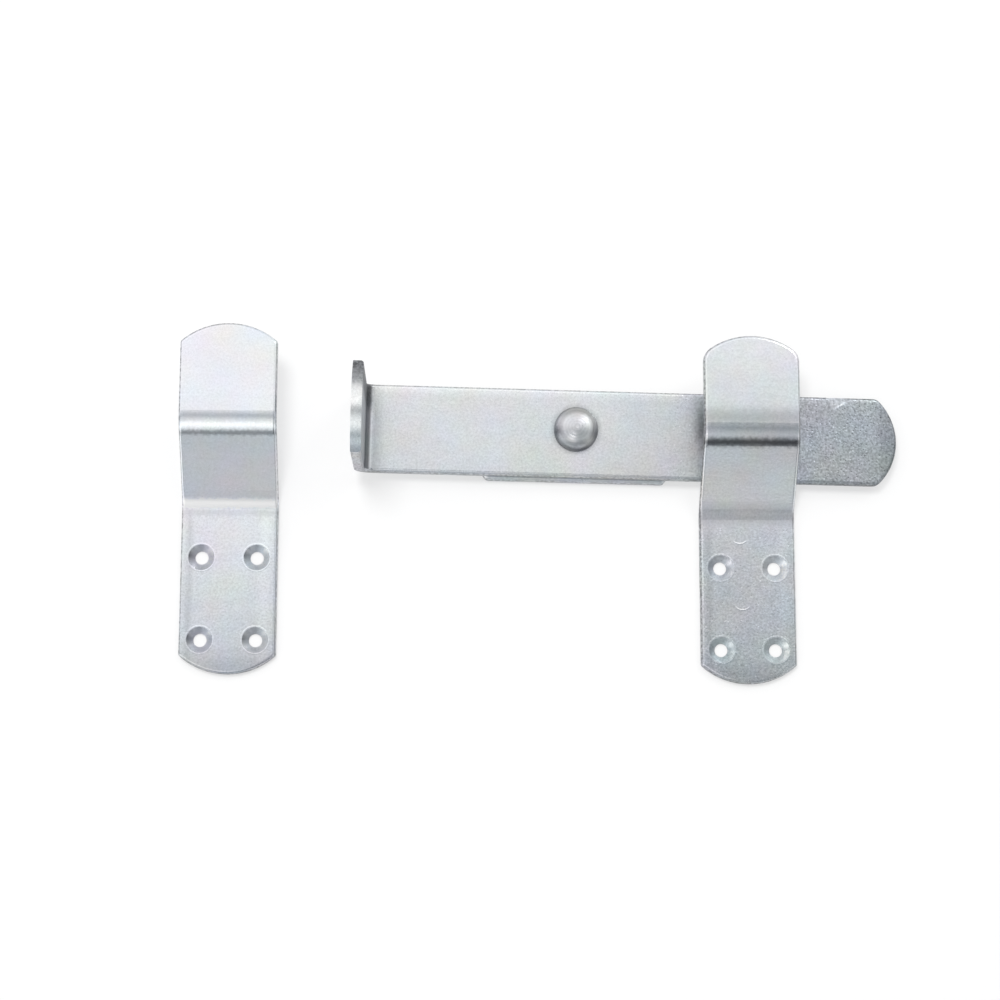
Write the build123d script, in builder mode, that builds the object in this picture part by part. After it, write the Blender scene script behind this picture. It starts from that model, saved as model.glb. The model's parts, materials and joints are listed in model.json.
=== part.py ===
from build123d import *
import os
from math import atan2, cos, degrees, radians, sin, sqrt, tan

# Gravity latch for a gate or stable door, as it is mounted.
# The wall, which is the face of the door and its frame, is the plane y = 0, and
# the pieces stand out from it towards -Y. +Z is up and +X runs along the bar to
# its tip. The origin is on the pivot's axis, at the wall. Sizes are millimetres.

# ---- flat stock ----
plate_thick = 3.0          # keeps and pivot plate
bar_thick = 3.8
front_round = 1.2          # rolled edge left by the press along the front outlines
back_break = 0.25          # light break along the back outlines

# ---- keep: flat base, sloping web and raised tongue ----
keep_width = 35.0
keep_rise = 17.5           # depth of the slot behind the tongue
base_length = 62.2         # lower end to the lower bend
web_run = 26.5             # height that the sloping web gains
tongue_length = 36.8       # upper bend to the upper end
lower_bend = 7.0           # front radius where the web leaves the base
upper_bend = 15.0          # front radius where the web meets the tongue
plate_end_radius = 26.0    # round ends of the keeps and of the pivot plate
plate_corner = 1.6         # where a round end meets the straight sides
eased_corner = 6.0         # the same on the tongue of the keep that is used most

# ---- screw holes, alike in all three plates ----
hole_dia = 4.8
sink_dia = 9.4             # countersink at the front face
sink_angle = 90.0
keep_hole_x = 20.0         # spacing across the keep
keep_hole_z = 30.0         # spacing along the keep
keep_hole_up = 12.3        # lower end to the lower pair of holes

# ---- bar and its foot tab ----
bar_width = 32.5
tip_reach = 118.5          # pivot to the tip
tab_reach = 80.8           # pivot to the outer face of the tab
tab_length = 45.0          # front face of the bar to the end of the tab
tab_bend = 3.0             # radius inside the bend
bar_end_radius = 22.0      # round ends of the bar
bar_corner = 3.5
bar_droop = 1.16           # degrees by which the tip lies low when it is at rest
pivot_rise = 1.4           # pivot above the centre line of the bar

# ---- press mark in the bar's upper edge, near the tip ----
mark_reach = 95.0          # pivot to its lowest corner
mark_up = 11.8             # centre line of the bar to its lowest corner
mark_length = 6.6
mark_turn = 30.0           # degrees by which its lower side climbs towards the tip
mark_tilt = 18.0           # degrees by which its floor sinks towards the edge

# ---- pivot plate ----
pivot_plate_length = 77.7
pivot_plate_width = 34.0
plate_rise = 1.9           # pivot above the centre line of the plate
pivot_hole_x = 54.0
pivot_hole_z = 18.0

# ---- rivet ----
head_dia = 16.2
head_height = 5.6
crown_radius = 16.0        # flatter middle of the dome
shoulder_radius = 4.2      # steep flank round it
shank_dia = 8.0
tail_dia = 11.0            # tail spread flush into the back of the plate
tail_depth = 1.5

# ---- clearances ----
turn_gap = 0.2             # bar to plate, and bar to rivet head
bore_gap = 0.08            # bar round the shank, on the radius
rest_gap = 0.3             # bar to the web that it lies on

# ---- places along the wall ----
right_keep_x = 63.1        # pivot to the middle of the right keep
left_keep_x = -126.2       # pivot to the middle of the left keep
left_keep_lift = 2.8       # left keep above the right keep

# ---- derived ----
bar_back = plate_thick + turn_gap
bar_front = bar_back + bar_thick
head_base = bar_front + turn_gap
keep_length = base_length + web_run + tongue_length
web_slope = atan2(keep_rise, web_run)
droop = radians(bar_droop)
beyond = 10.0              # how far a cutting outline runs past the piece



def facing_out(x, z, depth=0.0):
    """A plane parallel to the wall, looking out from it, at this depth."""
    return Plane(origin=(x, -depth, z), x_dir=(1, 0, 0), z_dir=(0, -1, 0))


def drooping(rise):
    """A plane on the wall whose x runs along the resting bar, this far under the pivot."""
    return Plane(
        origin=(-rise * sin(droop), 0, -rise * cos(droop)),
        x_dir=(cos(droop), 0, -sin(droop)),
        z_dir=(0, -1, 0),
    )


# The bar's own axes, from the middle of its width under the pivot:
# x along the bar, y up across it and z out from the wall.
bar_face = drooping(pivot_rise)
bar_edge = Plane(bar_face.origin, x_dir=bar_face.x_dir, z_dir=-bar_face.y_dir)
bar_end = Plane(bar_face.origin, x_dir=bar_face.y_dir, z_dir=bar_face.x_dir)


def keep_foot():
    """Lower end of the right keep, set so that the bar lies on its sloping web.

    The bar's lowest stretch over the keep is at the keep's far side. There the
    rolled lower edge of the bar stands off the back of the web by rest_gap.
    """
    far_side = right_keep_x + keep_width / 2
    bar_bottom = -(bar_width / 2 + pivot_rise) / cos(droop) - far_side * tan(droop)
    roll_height = bar_bottom + front_round
    roll_depth = bar_front - front_round
    web_back = roll_depth + (front_round + rest_gap) / cos(web_slope)
    web_front = web_back + plate_thick / cos(web_slope)
    web_start = roll_height - (web_front - plate_thick) / tan(web_slope)
    return web_start - base_length


def round_outlines(piece, along):
    """Roll the front outline of a bent plate and break its back outline.

    Each outline is smooth all the way round, so the rounding follows the whole of
    it from one of the long straight sides, which run in the given direction.
    """
    for rank, radius in ((0, front_round), (-1, back_break)):
        sides = piece.edges().filter_by(along).filter_by(lambda edge: edge.length > bar_width / 2)
        fillet(sides.sort_by(Axis.Y)[rank], radius)


def round_end(half_width, reach, end_radius):
    """Height along the side at which a round end of this radius starts."""
    return reach - end_radius + sqrt(end_radius**2 - half_width**2)


def cranked_keep(middle, foot, tongue_corner):
    """One keep, from its lower end at the height foot, centred on middle."""
    half = keep_width / 2
    tongue_front = plate_thick + keep_rise
    bend_heights = (foot + base_length, foot + base_length + web_run)
    top = foot + keep_length
    with BuildPart() as keep:
        with BuildSketch(Plane.YZ.offset(middle)):
            with BuildLine():
                FilletPolyline(
                    (-plate_thick, foot),
                    (-plate_thick, bend_heights[0]),
                    (-tongue_front, bend_heights[1]),
                    (-tongue_front, top),
                    radius=[lower_bend, upper_bend],
                )
                offset(amount=plate_thick, side=Side.RIGHT)
            make_face()
        extrude(amount=half, both=True)
        with BuildSketch(Plane.XZ) as front_view:
            with BuildLine():
                low = foot + keep_length - round_end(half, keep_length, plate_end_radius)
                high = foot + round_end(half, keep_length, plate_end_radius)
                left = Line((middle - half, low), (middle - half, high))
                upper = ThreePointArc(left @ 1, (middle, top), (middle + half, high))
                right = Line(upper @ 1, (middle + half, low))
                ThreePointArc(right @ 1, (middle, foot), left @ 0)
            make_face()
            fillet(front_view.vertices().sort_by(Axis.Y)[:2], plate_corner)
            fillet(front_view.vertices().sort_by(Axis.Y)[-2:], tongue_corner)
        extrude(amount=tongue_front + beyond, mode=Mode.INTERSECT)
        round_outlines(keep, Axis.Z)
        hole_middle = foot + keep_hole_up + keep_hole_z / 2
        with Locations(facing_out(middle, hole_middle, plate_thick)):
            with GridLocations(keep_hole_x, keep_hole_z, 2, 2):
                CounterSinkHole(hole_dia / 2, sink_dia / 2, plate_thick, sink_angle)
    return keep


def foot_bar():
    """The flat bar with one end bent out square, turned down to where it rests."""
    half = bar_width / 2
    tab_end = bar_front + tab_length
    tab_face = -tab_reach + bar_thick
    tip_start = round_end(half, tip_reach, bar_end_radius)
    tab_start = round_end(half, tab_end, bar_end_radius)
    with BuildPart() as bar:
        with BuildSketch(bar_edge):
            with BuildLine():
                FilletPolyline(
                    (tip_reach, bar_front),
                    (tab_face, bar_front),
                    (tab_face, tab_end),
                    radius=tab_bend,
                )
                offset(amount=bar_thick, side=Side.LEFT)
            make_face()
        extrude(amount=half, both=True)
        with BuildSketch(bar_face) as tip_view:
            with BuildLine():
                upper = Line((-tab_reach - beyond, half), (tip_start, half))
                tip = ThreePointArc(upper @ 1, (tip_reach, 0), (tip_start, -half))
                lower = Line(tip @ 1, (-tab_reach - beyond, -half))
                Line(lower @ 1, upper @ 0)
            make_face()
            fillet(tip_view.vertices().sort_by(Axis.X)[-2:], bar_corner)
        extrude(amount=tab_end + beyond, mode=Mode.INTERSECT)
        with BuildSketch(bar_end) as tab_view:
            with BuildLine():
                upper = Line((half, -beyond), (half, tab_start))
                tip = ThreePointArc(upper @ 1, (0, tab_end), (-half, tab_start))
                lower = Line(tip @ 1, (-half, -beyond))
                Line(lower @ 1, upper @ 0)
            make_face()
            fillet(tab_view.vertices().sort_by(Axis.Y)[:2], bar_corner)
        extrude(amount=tip_reach + beyond, both=True, mode=Mode.INTERSECT)
        round_outlines(bar, Axis(bar_face.origin, bar_face.x_dir))
        with Locations(facing_out(0, 0, bar_front)):
            Hole(shank_dia / 2 + bore_gap, depth=bar_thick)
        with BuildSketch(mark_floor()):
            Rectangle(mark_length, half, align=(Align.MIN, Align.MIN))
        extrude(amount=beyond, mode=Mode.SUBTRACT)
    return bar


def mark_floor():
    """The floor of the press mark, from its lowest corner on the bar's front face."""
    corner = bar_face.offset(bar_front).location * Pos(mark_reach, mark_up)
    return Plane(corner * Rot(Z=mark_turn) * Rot(X=-mark_tilt))


def fixing_plate():
    """The flat plate that carries the rivet: in line with the resting bar, its holes level."""
    half = pivot_plate_width / 2
    end = pivot_plate_length / 2
    start = round_end(half, end, plate_end_radius)
    with BuildPart() as plate:
        with BuildSketch(drooping(plate_rise)) as front_view:
            with BuildLine():
                upper = Line((-start, half), (start, half))
                right = ThreePointArc(upper @ 1, (end, 0), (start, -half))
                lower = Line(right @ 1, (-start, -half))
                ThreePointArc(lower @ 1, (-end, 0), upper @ 0)
            make_face()
            fillet(front_view.vertices(), plate_corner)
        extrude(amount=plate_thick)
        round_outlines(plate, Axis(bar_face.origin, bar_face.x_dir))
        with Locations(facing_out(0, -plate_rise, plate_thick)):
            with GridLocations(pivot_hole_x, pivot_hole_z, 2, 2):
                CounterSinkHole(hole_dia / 2, sink_dia / 2, plate_thick, sink_angle)
        with BuildSketch(Plane.XY):
            with BuildLine():
                Polyline(*rivet_hole_corners(), close=True)
            make_face()
        revolve(axis=Axis.Y, mode=Mode.SUBTRACT)
    return plate


def rivet_hole_corners():
    """Half section of the rivet's hole: straight, then spread for the tail."""
    return [
        (0, 0),
        (tail_dia / 2, 0),
        (shank_dia / 2, -tail_depth),
        (shank_dia / 2, -plate_thick),
        (0, -plate_thick),
    ]


def domed_rivet():
    """The rivet: spread tail, shank and domed head, turned about the Y axis."""
    head_radius = head_dia / 2
    shoulder_x = head_radius - shoulder_radius
    crown_y = -head_base - head_height + crown_radius
    reach = crown_radius - shoulder_radius
    shoulder_y = crown_y - sqrt(reach**2 - shoulder_x**2)
    turn = degrees(atan2(crown_y - shoulder_y, shoulder_x))
    with BuildPart() as rivet:
        with BuildSketch(Plane.XY):
            with BuildLine():
                stem = Polyline(
                    (0, -head_base),
                    (0, 0),
                    (tail_dia / 2, 0),
                    (shank_dia / 2, -tail_depth),
                    (shank_dia / 2, -head_base),
                    (head_radius, -head_base),
                    (head_radius, shoulder_y),
                )
                shoulder = CenterArc((shoulder_x, shoulder_y), shoulder_radius, 0, -turn)
                crown = CenterArc((0, crown_y), crown_radius, -turn, turn - 90)
                Line(crown @ 1, stem @ 0)
            make_face()
        revolve(axis=Axis.Y)
    return rivet


os.makedirs("parts", exist_ok=True)

right_keep = cranked_keep(right_keep_x, keep_foot(), eased_corner)
right_keep.part.label = "right_keep"
export_step(right_keep.part, "parts/right_keep.step")

left_keep = cranked_keep(left_keep_x, keep_foot() + left_keep_lift, plate_corner)
left_keep.part.label = "left_keep"
export_step(left_keep.part, "parts/left_keep.step")

latch_bar = foot_bar()
latch_bar.part.label = "latch_bar"
export_step(latch_bar.part, "parts/latch_bar.step")

pivot_plate = fixing_plate()
pivot_plate.part.label = "pivot_plate"
export_step(pivot_plate.part, "parts/pivot_plate.step")

pivot_rivet = domed_rivet()
pivot_rivet.part.label = "pivot_rivet"
export_step(pivot_rivet.part, "parts/pivot_rivet.step")
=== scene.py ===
"""Looks for the gravity gate latch: camera, stage, light and procedural zinc plate.

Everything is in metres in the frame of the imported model: the wall is y = 0, the
pieces stand out towards -Y, +Z is up and the origin is on the pivot's axis.
"""

import json
import math

import bpy
from mathutils import Matrix, Vector


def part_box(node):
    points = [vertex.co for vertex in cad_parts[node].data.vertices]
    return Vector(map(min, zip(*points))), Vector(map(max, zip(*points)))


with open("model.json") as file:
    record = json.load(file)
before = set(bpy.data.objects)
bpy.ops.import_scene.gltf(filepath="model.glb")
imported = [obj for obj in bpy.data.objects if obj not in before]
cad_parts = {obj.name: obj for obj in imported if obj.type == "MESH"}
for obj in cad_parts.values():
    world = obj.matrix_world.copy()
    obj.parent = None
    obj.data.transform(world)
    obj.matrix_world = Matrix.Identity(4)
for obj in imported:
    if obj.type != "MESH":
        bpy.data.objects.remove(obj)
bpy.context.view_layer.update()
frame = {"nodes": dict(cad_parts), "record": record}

MM = 0.001


# ---- node helpers ----

def add_node(tree, kind, inputs=None, **settings):
    """A node with these settings. An input is a value, or a socket to link from."""
    made = tree.nodes.new(kind)
    for name, value in settings.items():
        setattr(made, name, value)
    for name, value in (inputs or {}).items():
        if isinstance(value, bpy.types.NodeSocket):
            tree.links.new(value, made.inputs[name])
        else:
            made.inputs[name].default_value = value
    return made


def calc(tree, operation, *terms):
    """The result of a Math node."""
    made = add_node(tree, "ShaderNodeMath", dict(enumerate(terms)), operation=operation)
    return made.outputs[0]


def minus(tree, value, taken):
    """value less what is taken from it."""
    return calc(tree, "SUBTRACT", value, taken)


def product(tree, first, *others):
    """All these factors multiplied."""
    for other in others:
        first = calc(tree, "MULTIPLY", first, other)
    return first


def vector_calc(tree, operation, *terms):
    """The vector that a Vector Math node gives."""
    inputs = dict(enumerate(terms))
    made = add_node(tree, "ShaderNodeVectorMath", inputs, operation=operation)
    return made.outputs[0]


def scaled(tree, vector, factor):
    """A vector or colour times a number."""
    inputs = {0: vector, "Scale": factor}
    made = add_node(tree, "ShaderNodeVectorMath", inputs, operation="SCALE")
    return made.outputs[0]


def axes(tree, vector):
    """The X, Y and Z sockets of a vector."""
    return add_node(tree, "ShaderNodeSeparateXYZ", {0: vector}).outputs


def span(tree, first, second):
    """Length of the sloping side over two lengths at right angles."""
    pair = add_node(tree, "ShaderNodeCombineXYZ", {0: first, 1: second}).outputs[0]
    made = add_node(tree, "ShaderNodeVectorMath", {0: pair}, operation="LENGTH")
    return made.outputs["Value"]


def fade(tree, value, start, end, low=0.0, high=1.0):
    """low before start, high after end, and smooth in between."""
    inputs = {"Value": value, "From Min": start, "From Max": end, "To Min": low, "To Max": high}
    made = add_node(tree, "ShaderNodeMapRange", inputs, interpolation_type="SMOOTHSTEP")
    return made.outputs[0]


def hump(tree, value, middle, reach):
    """1 where value is at the middle, down to 0 at this reach from it."""
    away = calc(tree, "ABSOLUTE", minus(tree, value, middle))
    return fade(tree, away, 0.0, reach, 1.0, 0.0)


def vary(tree, value, amount):
    """A factor that goes about 1 by this amount as value goes from 0 to 1."""
    return calc(tree, "MULTIPLY_ADD", value, amount, 1.0 - amount / 2)


def mix_colours(tree, share, first, second):
    """The first colour, with this share of the second."""
    made = add_node(tree, "ShaderNodeMix", {0: share, 6: first, 7: second}, data_type="RGBA")
    return made.outputs[2]


# ---- camera ----

def add_camera():
    """A long lens about 0.7 m out from the wall, looking up at the latch from the left."""
    data = bpy.data.cameras.new("camera")
    data.lens = 71.0
    data.sensor_width = 36.0
    data.clip_start = 0.01
    data.clip_end = 50.0
    camera = bpy.data.objects.new("camera", data)
    bpy.context.scene.collection.objects.link(camera)
    camera.location = Vector((-52.9, -716.5, -139.3)) * MM
    turn_right = math.radians(2.018)
    tilt_up = math.radians(9.035)
    roll = math.radians(0.1)
    aim = (
        Matrix.Rotation(-turn_right, 4, "Z")
        @ Matrix.Rotation(math.pi / 2 + tilt_up, 4, "X")
        @ Matrix.Rotation(roll, 4, "Z")
    )
    camera.rotation_euler = aim.to_euler()
    bpy.context.scene.camera = camera


# ---- studio that the metal mirrors ----

# Brightness at elevations in degrees, in the left and in the right of the studio: soft
# tents above the horizon, and pale cards below it with dark gaps between them.
LEFT_STUDIO = (
    (-75, 0.40), (-62, 0.68), (-55, 0.67), (-49, 0.28), (-41, 0.90), (-27, 1.35), (-14, 0.95),
    (-3, 0.50), (2, 0.52), (7, 1.10), (12, 1.14), (30, 1.20), (80, 0.90),
)
RIGHT_STUDIO = (
    (-75, 0.50), (-63, 0.88), (-56, 0.90), (-51, 0.22), (-47, 0.02), (-41, 0.03), (-34, 0.42),
    (-22, 0.50), (-12, 0.42), (-3, 0.24), (3, 0.34), (8, 0.66), (12, 0.79), (14.5, 1.18),
    (80, 0.90),
)


def studio_side(tree, up, stops):
    """A colour ramp through the stops, bluer where it is dim and warmer where it is bright.

    up runs from 0 straight below to 1 straight above, as the sine of the elevation does.
    """
    made = add_node(tree, "ShaderNodeValToRGB", {"Fac": up})
    made.color_ramp.interpolation = "EASE"
    elements = made.color_ramp.elements
    elements.remove(elements[1])
    elements[0].position = 0.0
    for elevation, level in stops:
        position = (math.sin(math.radians(elevation)) + 1) / 2
        elements.new(position).color = (level**1.07, level, level**0.93, 1.0)
    elements[0].color = elements[1].color
    return made.outputs[0]


def add_world():
    """The studio for the metal to mirror. The camera itself sees plain pale grey."""
    world = bpy.data.worlds.new("studio")
    bpy.context.scene.world = world
    world.use_nodes = True
    tree = world.node_tree
    tree.nodes.clear()
    way = axes(tree, add_node(tree, "ShaderNodeTexCoord").outputs["Generated"])
    up = fade(tree, way["Z"], -1.0, 1.0)
    up.node.interpolation_type = "LINEAR"
    left = studio_side(tree, up, LEFT_STUDIO)
    right = studio_side(tree, up, RIGHT_STUDIO)
    into_right = fade(tree, way["X"], -0.12, 0.20)
    past_right = fade(tree, way["X"], 0.30, 0.65, 1.0, 0.25)
    far_right = fade(tree, way["X"], 0.70, 0.95, 1.0, 0.30)
    colour = mix_colours(tree, product(tree, into_right, past_right), left, right)
    colour = scaled(tree, colour, far_right)

    pale = 0.93
    seen = add_node(tree, "ShaderNodeLightPath").outputs["Is Camera Ray"]
    plain = add_node(tree, "ShaderNodeBackground", {"Color": (pale, pale, pale, 1.0)})
    studio = add_node(tree, "ShaderNodeBackground", {"Color": colour})
    both = add_node(
        tree, "ShaderNodeMixShader", {0: seen, 1: studio.outputs[0], 2: plain.outputs[0]}
    )
    add_node(tree, "ShaderNodeOutputWorld", {"Surface": both.outputs[0]})


# ---- stage and light ----

def plane(name, corners):
    """A flat four-cornered sheet of the stage."""
    mesh = bpy.data.meshes.new(name)
    mesh.from_pydata(corners, [], [(0, 1, 2, 3)])
    made = bpy.data.objects.new(name, mesh)
    bpy.context.scene.collection.objects.link(made)
    return made


def paper(name, own_light, shade):
    """Pale stage surface, partly lit by itself so that shadows on it stay faint.

    It is clear from behind.
    """
    material = bpy.data.materials.new(name)
    material.use_nodes = True
    tree = material.node_tree
    tree.nodes.clear()
    glow = add_node(
        tree, "ShaderNodeEmission", {"Color": (1.0, 1.0, 1.0, 1.0), "Strength": own_light}
    )
    matt = add_node(tree, "ShaderNodeBsdfDiffuse", {"Color": (shade, shade, shade, 1.0)})
    front = add_node(tree, "ShaderNodeAddShader", {0: glow.outputs[0], 1: matt.outputs[0]})
    behind = add_node(tree, "ShaderNodeNewGeometry").outputs["Backfacing"]
    clear = add_node(tree, "ShaderNodeBsdfTransparent")
    sheet = add_node(
        tree, "ShaderNodeMixShader", {0: behind, 1: front.outputs[0], 2: clear.outputs[0]}
    )
    add_node(tree, "ShaderNodeOutputMaterial", {"Surface": sheet.outputs[0]})
    return material


def add_stage():
    """A white wall just behind the latch, and a pale floor that no metal mirrors."""
    floor_drop = 0.6
    reach = 3.0
    wall_gap = 0.15 * MM
    wall = plane("wall", [
        (-reach, wall_gap, -floor_drop), (reach, wall_gap, -floor_drop),
        (reach, wall_gap, reach), (-reach, wall_gap, reach),
    ])
    wall.data.materials.append(paper("wall_paper", own_light=0.54, shade=0.385))
    floor = plane("floor", [
        (-reach, -reach, -floor_drop), (reach, -reach, -floor_drop),
        (reach, reach, -floor_drop), (-reach, reach, -floor_drop),
    ])
    floor.data.materials.append(paper("floor_paper", own_light=0.45, shade=0.45))
    floor.visible_glossy = False
    floor.visible_diffuse = False


def add_light(name, azimuth, elevation, distance, size, power, in_gloss):
    """A square soft light that faces the pivot, seen from it in this direction."""
    data = bpy.data.lights.new(name, "AREA")
    data.shape = "SQUARE"
    data.size = size
    data.energy = power
    light = bpy.data.objects.new(name, data)
    bpy.context.scene.collection.objects.link(light)
    across, up = math.radians(azimuth), math.radians(elevation)
    way = Vector((
        math.sin(across) * math.cos(up), -math.cos(across) * math.cos(up), math.sin(up)
    ))
    light.location = way * distance
    light.rotation_euler = way.to_track_quat("Z", "Y").to_euler()
    light.visible_glossy = in_gloss


def add_lights():
    """The key gives the soft shadows; the small lamp gives edges and rivet their glints."""
    add_light(
        "key", azimuth=-13.0, elevation=15.0, distance=1.4, size=0.38, power=9.0, in_gloss=False
    )
    add_light(
        "glint", azimuth=30.0, elevation=31.0, distance=1.2, size=0.22, power=1.0, in_gloss=True
    )


# ---- zinc plate ----

def noise(tree, place, size, detail, stretch=None):
    """Noise with features about size across, in metres; stretch scales the axes first."""
    if stretch:
        inputs = {"Vector": place, "Scale": stretch}
        place = add_node(tree, "ShaderNodeMapping", inputs, vector_type="POINT").outputs[0]
    inputs = {"Vector": place, "Scale": 1.0 / size, "Detail": detail}
    return add_node(tree, "ShaderNodeTexNoise", inputs).outputs


def spots(tree, place, size, share):
    """Small round spots in a share of the cells of a grid of this size."""
    inputs = {"Vector": place, "Scale": 1.0 / size}
    cells = add_node(tree, "ShaderNodeTexVoronoi", inputs).outputs
    luck = add_node(tree, "ShaderNodeSeparateColor", {0: cells["Color"]}).outputs[0]
    spot = fade(tree, cells["Distance"], 0.14, 0.36, 1.0, 0.0)
    return product(tree, spot, calc(tree, "LESS_THAN", luck, share))


def feature(share, brighter=0.0, rougher=0.0, higher=0.0):
    """A mark or painted light and shade: its share at each point, and what a full share does to
    the surface.

    brighter is the part by which the brightness grows; rougher is added to the
    roughness, and higher to the height, in steps of the bump's distance.
    """
    return share, brighter, rougher, higher


def worn_features(tree, place, worn):
    """Pits and bright flecks where the plate is worn, and a duller tone."""
    pit = product(tree, spots(tree, place, 0.95 * MM, 0.45), worn)
    fleck = product(tree, spots(tree, place, 1.2 * MM, 0.22), worn)
    return [
        feature(pit, brighter=-0.42, higher=-2.0),
        feature(fleck, brighter=0.35, rougher=-0.06, higher=1.0),
        feature(worn, brighter=-0.22, rougher=0.10),
    ]


def plate_level(tree, place, grain, streak, worn):
    """Brightness of plain plate: a slow drift, streaks, and grain that is deeper where worn."""
    drift = noise(tree, place, 45 * MM, 1.0)["Fac"]
    grain_depth = calc(tree, "MULTIPLY_ADD", worn, 1.35, 0.22)
    grained = calc(tree, "MULTIPLY_ADD", minus(tree, grain, 0.5), grain_depth, 1.0)
    return product(tree, vary(tree, drift, 0.14), vary(tree, streak, 0.08), grained)


def plate_relief(tree, grain, streak, worn):
    """Height of plain plate, rougher where worn."""
    grained = product(tree, grain, calc(tree, "MULTIPLY_ADD", worn, 2.0, 0.5))
    return calc(tree, "MULTIPLY_ADD", streak, 0.2, grained)


def plate_tint(tree, cloud_colour, tone, worn):
    """The tone in faint coloured clouds, colder where worn."""
    clouds = vector_calc(
        tree, "MULTIPLY_ADD", cloud_colour, (0.20, 0.12, 0.24), (0.90, 0.947, 0.882)
    )
    fresh, cold = (*tone, 1.0), (tone[0] * 0.96, tone[1] * 0.99, tone[2] * 1.04, 1.0)
    return vector_calc(tree, "MULTIPLY", clouds, mix_colours(tree, worn, fresh, cold))


def zinc(name, tone, rough, seed, marks):
    """Zinc plate on rolled steel: cloudy tints, fine grain, streaks and pits.

    marks gives the share by which a point is worn and pitted, and further features, painted
    light among them.
    Each seed has its own clouds, grain and pits.
    """
    material = bpy.data.materials.new(name)
    material.use_nodes = True
    tree = material.node_tree
    shader = tree.nodes["Principled BSDF"]
    where = add_node(tree, "ShaderNodeTexCoord").outputs
    worn, features = marks(tree, where["Object"], where["Normal"])
    shift = tuple(step * seed for step in (0.13, 0.07, 0.05))
    place = vector_calc(tree, "ADD", where["Object"], shift)

    cloud = noise(tree, place, 14 * MM, 2.0)
    grain = noise(tree, place, 0.8 * MM, 3.0)["Fac"]
    streak = noise(tree, place, 3 * MM, 3.0, stretch=(0.3, 1.0, 1.6))["Fac"]
    level = plate_level(tree, place, grain, streak, worn)
    gloss = calc(tree, "MULTIPLY_ADD", cloud["Fac"], 0.08, rough - 0.04)
    relief = plate_relief(tree, grain, streak, worn)
    for share, brighter, rougher, higher in worn_features(tree, place, worn) + features:
        if brighter:
            level = product(tree, level, calc(tree, "MULTIPLY_ADD", share, brighter, 1.0))
        if rougher:
            gloss = calc(tree, "MULTIPLY_ADD", share, rougher, gloss)
        if higher:
            relief = calc(tree, "MULTIPLY_ADD", share, higher, relief)

    colour = scaled(tree, plate_tint(tree, cloud["Color"], tone, worn), level)
    bump = add_node(
        tree, "ShaderNodeBump", {"Strength": 1.0, "Distance": 0.02 * MM, "Height": relief}
    )
    tree.links.new(colour, shader.inputs["Base Color"])
    tree.links.new(gloss, shader.inputs["Roughness"])
    tree.links.new(bump.outputs[0], shader.inputs["Normal"])
    shader.inputs["Metallic"].default_value = 1.0
    return material


# ---- marks and painted shade that several pieces have ----

def front_side(tree, facing):
    """1 where the surface faces the room, and 0 on rims and backs."""
    return fade(tree, facing["Y"], -0.3, 0.0, 1.0, 0.0)


def down_right(tree, facing):
    """How far the surface faces down and to the right: below 0, it faces up and left."""
    return minus(tree, facing["X"], facing["Z"])


def sheared_rim_and_painted_shade(tree, place, facing, broad):
    """The dull, speckled rim of a plate with painted shade on it; broad is 1 on its faces and 0
    on its rim.

    The painted shade reaches further over the rolled edge on its upper and left-hand sides.
    """
    # Painted shade: surfaces facing up and left take more of the darkened rim.
    wider_painted_shade = fade(tree, down_right(tree, facing), -0.6, -0.2, 0.22, 0.0)
    edge = fade(tree, minus(tree, broad, wider_painted_shade), 0.46, 0.76, 1.0, 0.0)
    speck = fade(tree, noise(tree, place, 0.9 * MM, 2.0)["Fac"], 0.42, 0.58, 0.45, 1.0)
    return product(tree, edge, speck)


# ---- the two keeps ----

# Heights above a keep's lower end: its crank, from where it leaves the flat base to
# where it is flat again, and the bend at the foot of its sloping web.
CRANK_START = 54 * MM
CRANK_END = 98 * MM
LOWER_BEND = 62 * MM


def countersinks(tree, screws, middle_x, spot, facing):
    """The share of the four countersinks, and their features.

    They are cones with painted light, painted shade at upper left and a raised lip with a
    painted highlight.
    """
    edge = 4.9 * MM
    half_x = screws["dims"]["spacing_x_mm"] / 2 * MM
    half_z = screws["dims"]["spacing_y_mm"] / 2 * MM
    across = calc(tree, "ABSOLUTE", minus(tree, spot["X"], middle_x))
    along = calc(tree, "ABSOLUTE", minus(tree, spot["Z"], screws["pos_m"][2]))
    away = span(tree, minus(tree, across, half_x), minus(tree, along, half_z))
    front = front_side(tree, facing)
    sink = product(tree, fade(tree, away, edge - 0.4 * MM, edge, 1.0, 0.0), front)
    shaded = product(tree, sink, fade(tree, down_right(tree, facing), -0.2, 1.0))
    lip = product(tree, hump(tree, away, edge + 0.1 * MM, 0.5 * MM), front)
    return sink, [
        # Painted light on the cones, painted shade at their upper left, a painted highlight on
        # the lip.
        feature(sink, brighter=0.20, rougher=0.06),
        feature(shaded, brighter=-0.42),
        feature(lip, brighter=0.12, higher=0.8),
    ]


def base_features(tree, up, spot, low, high):
    """A base is darker at its lower end, with painted shade by its left rim and painted light
    at its right.
    """
    on_base = fade(tree, up, CRANK_START, CRANK_START + 6 * MM, 1.0, 0.0)
    left_painted_shade = hump(tree, minus(tree, spot["X"], low.x), 3.2 * MM, 2.0 * MM)
    right_painted_light = hump(tree, minus(tree, high.x, spot["X"]), 4.5 * MM, 3.5 * MM)
    return [
        feature(fade(tree, up, 0.0, 12 * MM, 1.0, 0.0), brighter=-0.22),
        # Painted shade and painted light along the rolled side edges of the base.
        feature(product(tree, left_painted_shade, on_base), brighter=-0.14),
        feature(product(tree, right_painted_light, on_base), brighter=0.08),
    ]


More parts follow.
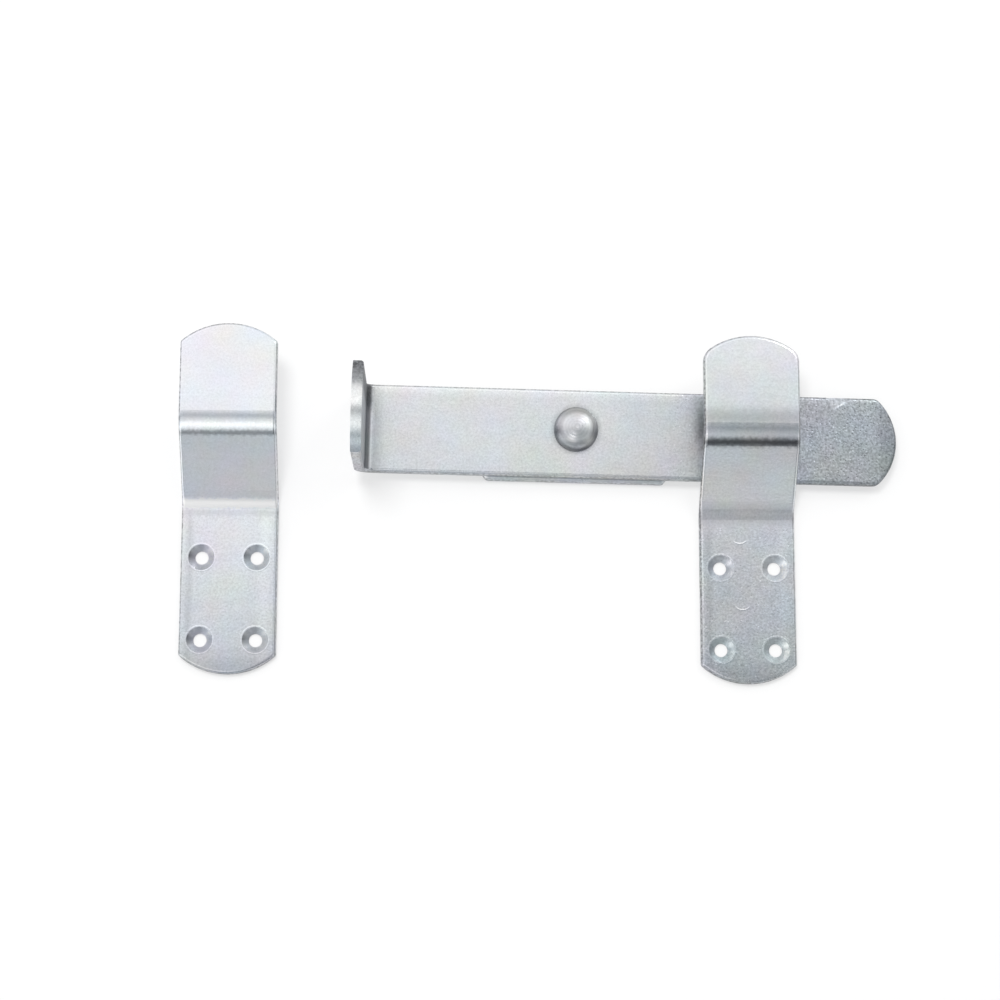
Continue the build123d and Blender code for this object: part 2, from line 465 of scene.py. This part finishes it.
def bend_features(tree, place, up, painted_bands):
    """The lower bend is dull; stripes of painted highlight and shade with wavy edges run across
    both bends.

    Each band is its height in mm above the keep's lower end, its reach up and down
    from there in mm, and how much brighter it is.
    """
    uneven = noise(tree, place, 1.5 * MM, 2.0)["Fac"]
    wavy = calc(tree, "MULTIPLY_ADD", minus(tree, uneven, 0.5), 2.0 * MM, up)
    return [feature(hump(tree, up, LOWER_BEND, 6 * MM), rougher=0.20)] + [
        # Painted highlights and painted shade across the bends.
        feature(hump(tree, wavy, rise * MM, reach * MM), brighter=brighter)
        for rise, reach, brighter in painted_bands
    ]


def keep_marks_and_painted_light(tree, place, normal, part_name, wear, painted_bands):
    """Wear, marks and painted light of a keep, worn most at its lower end and little above the
    lower bend.
    """
    spot, facing = axes(tree, place), axes(tree, normal)
    low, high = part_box(part_name)
    mounts = frame["record"]["mounts"]
    screws = [mount for mount in mounts if mount["name"] == part_name + "_screws"][0]
    up = minus(tree, spot["Z"], low.z)
    worn = product(
        tree,
        fade(tree, up, 0.0, 95 * MM, wear, wear * 0.3),
        fade(tree, up, LOWER_BEND, LOWER_BEND + 4 * MM, 1.0, 0.3),
    )
    sink, sink_features = countersinks(tree, screws, (low.x + high.x) / 2, spot, facing)

    on_crank = product(
        tree,
        fade(tree, up, CRANK_START - 2 * MM, CRANK_START + 2 * MM),
        fade(tree, up, CRANK_END - 2 * MM, CRANK_END + 2 * MM, 1.0, 0.0),
    )
    broad = span(tree, facing["Y"], product(tree, facing["Z"], on_crank))
    rim = product(tree, sheared_rim_and_painted_shade(tree, place, facing, broad), minus(tree, 1.0, sink))
    return worn, [
        # The rim is dull sheared metal, darkened further with painted shade.
        feature(rim, brighter=-0.65, rougher=0.15),
        *base_features(tree, up, spot, low, high),
        *sink_features,
        *bend_features(tree, place, up, painted_bands),
    ]


def left_keep_marks_and_painted_light(tree, place, normal):
    """The left keep is the cleaner of the two, with a painted highlight at its lower bend."""
    # Painted highlight and shade stripes at the bends: height and reach in mm, brightening.
    painted_bands = ((87.6, 2.4, 0.14), (85.4, 1.4, -0.35), (62.0, 2.8, 0.50), (58.6, 2.0, -0.06))
    return keep_marks_and_painted_light(tree, place, normal, "left_keep", 0.18, painted_bands)


def right_keep_marks_and_painted_light(tree, place, normal):
    """The right keep is worn, has painted shade at its upper bend, and has tool marks on its
    base.
    """
    # Painted shade at both bends and a painted highlight at the upper one: height and reach in
    # mm, brightening.
    painted_bands = ((95.0, 6.0, -0.30), (91.8, 2.0, 0.12), (86.3, 2.6, -0.66), (60.8, 4.5, -0.26))
    worn, features = keep_marks_and_painted_light(tree, place, normal, "right_keep", 0.50, painted_bands)
    return worn, features + tool_crescents(tree, place, normal)


def tool_crescents(tree, place, normal):
    """Two small bright arcs that a tool left on the right keep's base, open at the top."""
    spot = axes(tree, place)
    front = front_side(tree, axes(tree, normal))
    low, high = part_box("right_keep")
    radius = 3.2 * MM
    features = []
    for across, up in ((-2.8, 51.3), (-2.1, 26.9)):
        side = minus(tree, spot["X"], (low.x + high.x) / 2 + across * MM)
        rise = minus(tree, spot["Z"], low.z + up * MM + radius)
        ring = hump(tree, span(tree, side, rise), radius, 0.45 * MM)
        lower_part = fade(tree, rise, -3.0 * MM, -1.6 * MM, 1.0, 0.0)
        crescent = product(tree, ring, lower_part, front)
        features.append(feature(crescent, brighter=0.35, rougher=-0.05, higher=1.5))
    return features


# ---- the bar ----

# At rest the bar falls by this much for each unit towards its tip.
BAR_FALL = math.tan(math.radians(1.16))


def press_mark_burr(tree, spot, facing, level_z):
    """The raised burr along the notch that is pressed into the bar's top edge, lit with a
    painted highlight.
    """
    mark_x, mark_z, turn = 95.0 * MM, 10.4 * MM, math.radians(30.0)
    from_mark = minus(tree, spot["X"], mark_x)
    over_mark = minus(tree, level_z, mark_z)
    across_mark = minus(
        tree,
        product(tree, over_mark, math.cos(turn)),
        product(tree, from_mark, math.sin(turn)),
    )
    burr = product(
        tree,
        hump(tree, across_mark, -0.3 * MM, 0.9 * MM),
        hump(tree, from_mark, 2.8 * MM, 3.6 * MM),
        front_side(tree, facing),
    )
    # Painted highlight on the raised burr.
    return feature(burr, brighter=0.90, rougher=-0.10, higher=2.5)


def tab_features(tree, spot, facing, on_tab, top, end_y):
    """The foot tab is darker and duller on top; painted shade on its inner face; painted light
    on its end, most at mid height.
    """
    inner_painted_shade = product(tree, on_tab, fade(tree, facing["X"], 0.3, 0.7))
    end = product(tree, on_tab, fade(tree, spot["Y"], end_y + 4 * MM, end_y + 7 * MM, 1.0, 0.0))
    painted_highlight = product(tree, end, hump(tree, spot["Z"], 0.0, 3.5 * MM))
    low_end_painted_light = product(tree, end, fade(tree, spot["Z"], -5 * MM, -2 * MM, 1.0, 0.0))
    return [
        feature(top, brighter=-0.50, rougher=0.15),
        # Painted shade on the tab's inner face.
        feature(inner_painted_shade, brighter=-0.38, rougher=0.10),
        # Painted highlight and painted light on the tab's end.
        feature(painted_highlight, brighter=0.22),
        feature(low_end_painted_light, brighter=0.12),
    ]


def bar_marks_and_painted_light(tree, place, normal):
    """The bar is mottled and pitted towards its tip, with painted shadow round the rivet's
    head.
    """
    spot, facing = axes(tree, place), axes(tree, normal)
    low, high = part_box("latch_bar")
    keep_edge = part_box("right_keep")[0].x
    head_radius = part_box("pivot_rivet")[1].x
    worn = fade(tree, spot["X"], keep_edge - 18 * MM, keep_edge + 24 * MM, 0.12, 1.0)
    mottle = product(tree, noise(tree, place, 2.4 * MM, 3.0)["Fac"], worn)

    on_tab = fade(tree, spot["X"], low.x + 5.5 * MM, low.x + 7.5 * MM, 1.0, 0.0)
    tab_top = product(tree, on_tab, fade(tree, spot["Z"], 4 * MM, 10 * MM))
    broad = span(tree, facing["Y"], product(tree, facing["X"], on_tab))
    rim = sheared_rim_and_painted_shade(tree, place, facing, broad)

    level_z = calc(tree, "MULTIPLY_ADD", spot["X"], BAR_FALL, spot["Z"])
    below_top = minus(tree, high.z + BAR_FALL * low.x, level_z)
    # Painted light along the strip under the bar's top edge.
    top_edge_painted_light = fade(tree, below_top, 0.8 * MM, 4.5 * MM, 1.0, 0.0)
    from_pivot = span(tree, spot["X"], spot["Z"])
    # Painted shadow round the rivet's head.
    rivet_painted_shadow = fade(tree, from_pivot, head_radius, head_radius + 2.2 * MM, 1.0, 0.0)
    past_rivet = fade(tree, spot["X"], -10 * MM, keep_edge)
    near_tip = fade(tree, spot["X"], high.x - 10 * MM, high.x - 2 * MM)
    # Painted shade in the bend at the root of the foot tab.
    tab_root_painted_shade = hump(tree, spot["X"], low.x + 7 * MM, 5 * MM)
    return calc(tree, "MAXIMUM", worn, product(tree, tab_top, 0.8)), [
        # The rim is dull sheared metal, darkened further with painted shade.
        feature(rim, brighter=-0.62, rougher=0.15),
        feature(rivet_painted_shadow, brighter=-0.22),
        feature(past_rivet, brighter=-0.13),
        feature(near_tip, brighter=-0.26, rougher=0.05),
        feature(tab_root_painted_shade, brighter=-0.15),
        feature(mottle, brighter=-0.22, rougher=0.06),
        feature(top_edge_painted_light, brighter=0.12, rougher=-0.03),
        press_mark_burr(tree, spot, facing, level_z),
        *tab_features(tree, spot, facing, on_tab, tab_top, low.y),
    ]


# ---- pivot plate and rivet ----

def plate_marks_and_painted_shade(tree, place, normal):
    """The plate behind the bar is a little uneven all over, and its rim has painted shade."""
    worn = fade(tree, noise(tree, place, 30 * MM, 2.0)["Fac"], 0.35, 0.7, 0.0, 0.25)
    facing = axes(tree, normal)
    rim = sheared_rim_and_painted_shade(tree, place, facing, calc(tree, "ABSOLUTE", facing["Y"]))
    # The rim is dull sheared metal, darkened further with painted shade.
    return worn, [feature(rim, brighter=-0.50, rougher=0.15)]


def rivet_marks_and_painted_light(tree, place, normal):
    """The head has fine rings and a painted glint; painted shade on its duller flank, upper
    side, crown groove and foot.
    """
    spot = axes(tree, place)
    from_axis = span(tree, spot["X"], spot["Z"])
    low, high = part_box("pivot_rivet")
    crown = (high.x - low.x) * 0.32
    worn = fade(tree, noise(tree, place, 6 * MM, 2.0)["Fac"], 0.35, 0.7, 0.0, 0.3)
    from_painted_highlight = span(
        tree,
        calc(tree, "ADD", spot["X"], 1.5 * MM), calc(tree, "ADD", spot["Z"], 3.0 * MM),
    )
    painted_highlight = fade(tree, from_painted_highlight, 0.4 * MM, 2.2 * MM, 1.0, 0.0)
    rings = calc(tree, "SINE", product(tree, from_axis, 2 * math.pi / (1.1 * MM)))
    flank = fade(tree, from_axis, crown, crown + 1.0 * MM, 0.4, 1.0)
    crown_edge = hump(tree, from_axis, crown + 0.4 * MM, 0.7 * MM)
    foot = fade(tree, from_axis, high.x - 0.9 * MM, high.x - 0.1 * MM)
    return worn, [
        # Painted shade on the flank and on the upper side of the head.
        feature(flank, brighter=-0.32, rougher=0.06),
        feature(fade(tree, spot["Z"], 2.5 * MM, 6.5 * MM), brighter=-0.20),
        # Painted glint on the crown.
        feature(painted_highlight, brighter=0.30, rougher=-0.10),
        # A groove round the crown, with painted shade in it.
        feature(crown_edge, brighter=-0.12, higher=-1.0),
        feature(rings, brighter=0.04, higher=0.6),
        # Painted shade where the head meets the bar.
        feature(foot, brighter=-0.45),
    ]


# ---- the scene ----

def dress(part_name, material):
    """Give a CAD node one material all over."""
    for slot in frame["nodes"][part_name].material_slots:
        slot.material = material


add_camera()
add_world()
add_stage()
add_lights()
bpy.context.scene.view_settings.view_transform = "Standard"

dress("left_keep", zinc(
    "left_keep_zinc", tone=(0.80, 0.815, 0.855), rough=0.22, seed=1, marks=left_keep_marks_and_painted_light
))
dress("right_keep", zinc(
    "right_keep_zinc", tone=(0.79, 0.805, 0.825), rough=0.22, seed=2, marks=right_keep_marks_and_painted_light
))
dress("latch_bar", zinc(
    "bar_zinc", tone=(0.77, 0.79, 0.81), rough=0.24, seed=3, marks=bar_marks_and_painted_light
))
dress("pivot_plate", zinc(
    "plate_zinc", tone=(0.72, 0.735, 0.765), rough=0.28, seed=4, marks=plate_marks_and_painted_shade
))
dress("pivot_rivet", zinc(
    "rivet_zinc", tone=(0.76, 0.765, 0.77), rough=0.32, seed=5, marks=rivet_marks_and_painted_light
))
